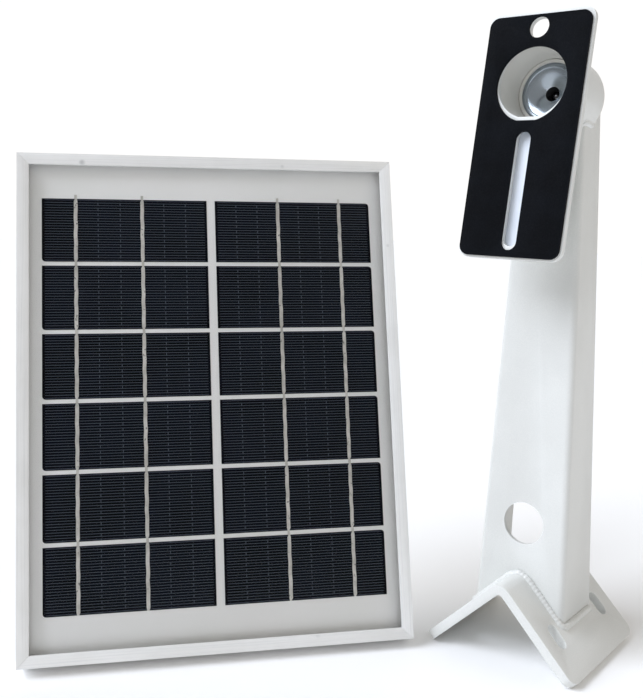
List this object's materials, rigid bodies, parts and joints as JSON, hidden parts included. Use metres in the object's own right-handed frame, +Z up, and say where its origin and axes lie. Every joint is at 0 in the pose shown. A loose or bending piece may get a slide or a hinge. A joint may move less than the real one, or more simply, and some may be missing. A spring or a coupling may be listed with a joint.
{
  "type": "solar-powered security camera",
  "caption": "Recessed camera head welded at a fixed tilt to a tapered bent-steel mast with a slotted V base, with its loose aluminium-framed solar panel standing beside it.",
  "frame": {"origin": "on the floor, under the middle of the box round the mast and the panel together", "axes": "+Z up, -Y the way the arm's front faces, +X to the right seen from the front; the panel stands on the -X side, turned towards +X"},
  "size_m": [0.2598, 0.2206, 0.2914],
  "materials": {
    "white_powder_coat": "fine-textured powder coat",
    "steel_zinc": "zinc plated",
    "dark_plastic": "moulded",
    "black_foam": "closed-cell foam",
    "seal_rubber": "moulded seal",
    "battery_wrap": "shrink wrap",
    "circuit_board": "solder mask",
    "chip_black": "moulded package",
    "post_brass": "turned",
    "grey_plastic": "moulded",
    "bright_bezel": "bright metallised",
    "optical_glass": "coated",
    "diffuser": "frosted",
    "mill_aluminium": "brushed mill finish",
    "solar_glass": "textured tempered",
    "silicon_cell": "coated silicon",
    "tinned_ribbon": "tinned copper",
    "white_backsheet": "polymer film"
  },
  "bodies": {
    "mast": {"base_bracket": "white_powder_coat", "arm": "white_powder_coat", "weld_bead": "white_powder_coat", "arm_back_cover": "white_powder_coat", "cover_tabs": "white_powder_coat", "cover_screws": "steel_zinc", "case_base": "dark_plastic", "case_seal": "seal_rubber", "case_lid": "dark_plastic", "case_screws": "steel_zinc", "foam_pads": "black_foam", "battery_pack": "battery_wrap", "board_posts": "post_brass", "main_board": "circuit_board", "board_chips": "chip_black", "antenna_strip": "circuit_board", "gland_body": "dark_plastic", "gland_locknut": "dark_plastic", "gland_dome_nut": "dark_plastic", "saddle_weld": "white_powder_coat", "head_plate": "white_powder_coat", "face_pad": "black_foam", "barrel_housing": "white_powder_coat", "rear_cap": "grey_plastic", "cap_seal": "seal_rubber", "cap_screws": "steel_zinc", "shroud_sleeve": "grey_plastic", "module_carrier": "grey_plastic", "bezel_cone": "bright_bezel", "lens_holder": "dark_plastic", "ir_filter": "optical_glass", "image_sensor": "chip_black", "camera_board": "circuit_board", "tact_switch": "chip_black", "light_tray": "white_powder_coat", "tray_rivets": "steel_zinc", "light_diffuser": "diffuser", "light_board": "circuit_board", "light_leds": "diffuser"},
    "lens": {"lens_barrel": "dark_plastic", "lens_elements": "optical_glass"},
    "button": {"power_button": "grey_plastic"},
    "panel": {"frame_left": "mill_aluminium", "frame_right": "mill_aluminium", "frame_bottom": "mill_aluminium", "frame_top": "mill_aluminium", "corner_keys": "mill_aluminium", "corner_screws": "steel_zinc", "panel_glass": "solar_glass", "encapsulant": "white_backsheet", "solar_cells": "silicon_cell", "cell_ribbons": "tinned_ribbon", "backsheet": "white_backsheet", "edge_sealant": "white_backsheet", "junction_box": "dark_plastic", "junction_box_lid": "dark_plastic", "jbox_terminals": "post_brass", "jbox_diode": "chip_black", "jbox_gland": "dark_plastic"}
  },
  "joints": [
    {"name": "lens_focus", "type": "hinge", "parent": "mast", "child": "lens", "pos_m": [0.09141, 0.06549, 0.25848], "axis": [0, -0.9816, 0.1908], "range_deg": [-60, 60]},
    {"name": "button_press", "type": "slide", "parent": "mast", "child": "button", "axis": [0, -0.9816, 0.1908], "range_m": [0, 0.0005], "stiffness_N_per_m": 800, "springref_m": -0.0008},
    {"name": "panel_lift", "type": "slide", "parent": "mast", "child": "panel", "axis": [0, 0, 1], "range_m": [0, 0.25]}
  ]
}
